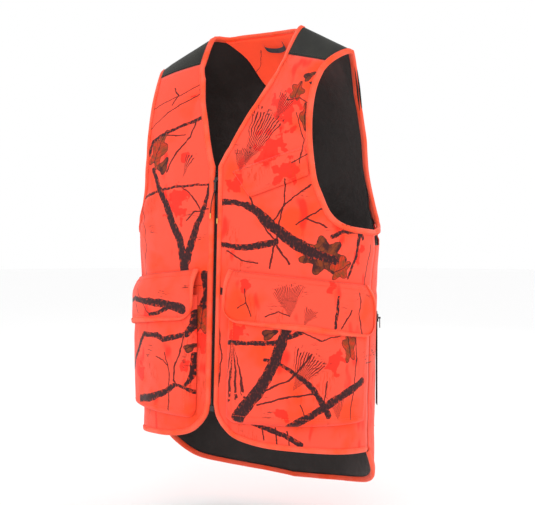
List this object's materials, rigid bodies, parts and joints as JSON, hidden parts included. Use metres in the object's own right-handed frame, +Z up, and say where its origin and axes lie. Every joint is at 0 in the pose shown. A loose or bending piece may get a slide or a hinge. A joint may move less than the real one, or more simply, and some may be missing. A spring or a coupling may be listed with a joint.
{
  "type": "hunting vest",
  "caption": "Sleeveless blaze orange camouflage field vest with a zip front, flapped bellows pockets, a chest pocket and a game bag.",
  "frame": {"origin": "midway between the wearer's shoulders, at the height of the shoulder line's middle, where the vest is held up", "axes": "+Z up, the vest faces -Y, +X towards the wearer's left"},
  "size_m": [0.4522, 0.285, 0.7732],
  "materials": {
    "camo_orange": "matte",
    "binding_orange": "satin",
    "black_cloth": "matte",
    "black_lining": "satin",
    "black_tape": "matte",
    "black_coil": "satin",
    "black_metal": "satin",
    "brass": "satin",
    "grey_webbing": "matte",
    "white_label": "satin"
  },
  "bodies": {
    "vest": {"front_panel_left": "camo_orange", "front_panel_right": "camo_orange", "front_yoke_left": "black_cloth", "front_yoke_right": "black_cloth", "front_lining_left": "black_lining", "front_lining_right": "black_lining", "back_panel": "camo_orange", "back_yoke": "black_cloth", "back_lining": "black_lining", "neck_facing": "camo_orange", "size_label": "white_label", "front_binding_left": "binding_orange", "front_binding_right": "binding_orange", "armhole_binding_left": "binding_orange", "armhole_binding_right": "binding_orange", "back_neck_binding": "binding_orange", "back_hem_binding": "binding_orange", "pocket_left": "camo_orange", "pocket_right": "camo_orange", "pocket_loop_strip_left": "black_tape", "pocket_loop_strip_right": "black_tape", "chest_pocket_welt": "camo_orange", "chest_pocket_bag": "black_lining", "game_bag": "camo_orange", "zip_tape_left": "black_tape", "zip_tape_right": "black_tape", "zip_coil_left": "black_coil", "zip_coil_right": "black_coil", "zip_top_stop_left": "black_metal", "zip_top_stop_right": "black_metal", "zip_insertion_pin": "black_metal", "zip_retainer_box": "black_metal", "game_zip_tape_front_left": "black_tape", "game_zip_tape_rear_left": "black_tape", "game_zip_tape_front_right": "black_tape", "game_zip_tape_rear_right": "black_tape", "game_zip_coil_front_left": "black_coil", "game_zip_coil_rear_left": "black_coil", "game_zip_coil_front_right": "black_coil", "game_zip_coil_rear_right": "black_coil"},
    "flap_left": {"pocket_flap_left": "camo_orange", "flap_binding_left": "binding_orange", "flap_hook_strip_left": "black_tape"},
    "flap_right": {"pocket_flap_right": "camo_orange", "flap_binding_right": "binding_orange", "flap_hook_strip_right": "black_tape"},
    "front_slider": {"zip_slider": "black_metal"},
    "front_pull": {"zip_pull_tab": "black_metal", "zip_pull_cord": "black_tape", "cord_tip_1": "brass", "cord_tip_2": "brass"},
    "side_slider_left": {"game_zip_slider_left": "black_metal"},
    "side_pull_left": {"game_zip_pull_left": "black_metal"},
    "side_slider_right": {"game_zip_slider_right": "black_metal"},
    "side_pull_right": {"game_zip_pull_right": "black_metal"},
    "neck_loop": {"hang_loop": "grey_webbing"}
  },
  "joints": [
    {"name": "flap_left_hinge", "type": "hinge", "parent": "vest", "child": "flap_left", "pos_m": [0.15065, -0.10539, -0.379], "axis": [-0.8886, -0.4451, 0.1107], "range_deg": [0, 115]},
    {"name": "flap_right_hinge", "type": "hinge", "parent": "vest", "child": "flap_right", "pos_m": [-0.15065, -0.10539, -0.379], "axis": [-0.8886, 0.4451, -0.1107], "range_deg": [0, 115]},
    {"name": "front_zip_slide", "type": "slide", "parent": "vest", "child": "front_slider", "axis": [0, -0.036, -0.9994], "range_m": [0, 0.338]},
    {"name": "front_pull_swing", "type": "hinge", "parent": "front_slider", "child": "front_pull", "pos_m": [0, -0.12414, -0.22943], "axis": [-1, 0, 0], "range_deg": [0, 160]},
    {"name": "side_zip_slide_left", "type": "slide", "parent": "vest", "child": "side_slider_left", "axis": [0, 0, -1], "range_m": [0, 0.128]},
    {"name": "side_pull_swing_left", "type": "hinge", "parent": "side_slider_left", "child": "side_pull_left", "pos_m": [0.19736, 0.05397, -0.446], "axis": [0.5043, -0.8635, 0], "range_deg": [0, 160]},
    {"name": "side_zip_slide_right", "type": "slide", "parent": "vest", "child": "side_slider_right", "axis": [0, 0, -1], "range_m": [0, 0.128]},
    {"name": "side_pull_swing_right", "type": "hinge", "parent": "side_slider_right", "child": "side_pull_right", "pos_m": [-0.19736, 0.05397, -0.446], "axis": [0.5043, 0.8635, 0], "range_deg": [0, 160]},
    {"name": "neck_loop_swing", "type": "hinge", "parent": "vest", "child": "neck_loop", "pos_m": [0, 0.05048, 0.01264], "axis": [-1, 0, 0], "range_deg": [0, 150]}
  ]
}
